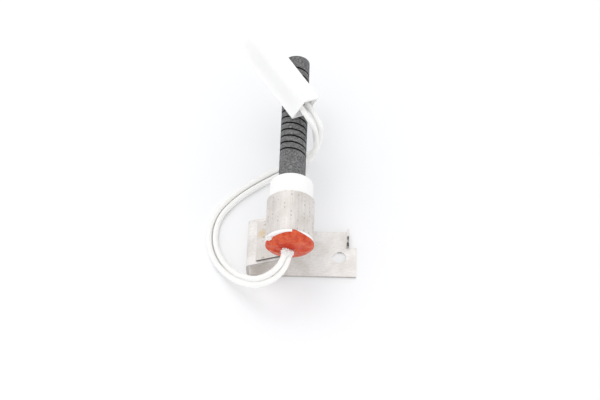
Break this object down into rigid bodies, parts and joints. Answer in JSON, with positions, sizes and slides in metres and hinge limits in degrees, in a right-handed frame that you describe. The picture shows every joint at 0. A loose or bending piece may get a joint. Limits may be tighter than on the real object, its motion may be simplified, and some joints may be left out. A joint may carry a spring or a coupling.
{
  "type": "hot-surface igniter",
  "caption": "Round spiral-cut silicon carbide hot-surface igniter in a ceramic holder on a folded steel bracket, with a two-wire lead and a white plug.",
  "frame": {"origin": "centre of the bracket's screw hole, on the underside of the foot", "axes": "+Z along the screw hole's axis, out of the foot's top; +Y along the heater, towards its tip; X across, the heater on the -X side"},
  "size_m": [0.0559, 0.0956, 0.0456],
  "materials": {
    "bracket_sheet": "satin",
    "sleeve_sheet": "satin",
    "ceramic": "matte",
    "front_cement": "matte",
    "rear_cement": "matte",
    "seal": "glossy",
    "silicon_carbide": "matte",
    "contact_metal": "satin",
    "nickel": "satin",
    "strands": "satin",
    "lead_insulation": "matte",
    "nylon": "satin",
    "tin": "satin"
  },
  "bodies": {
    "root": {"bracket": "bracket_sheet", "sleeve": "sleeve_sheet", "ceramic_holder": "ceramic", "front_cement": "front_cement", "rear_cement": "rear_cement", "rear_seal": "seal", "heating_element": "silicon_carbide", "contact_upper": "contact_metal", "contact_lower": "contact_metal", "connector_housing": "nylon", "nickel_wire_inner": "nickel", "nickel_wire_outer": "nickel", "splice_inner": "nickel", "splice_outer": "nickel", "conductor_inner": "strands", "conductor_outer": "strands", "insulation_inner": "lead_insulation", "insulation_outer": "lead_insulation", "terminal_inner": "tin", "terminal_outer": "tin"}
  },
  "joints": []
}
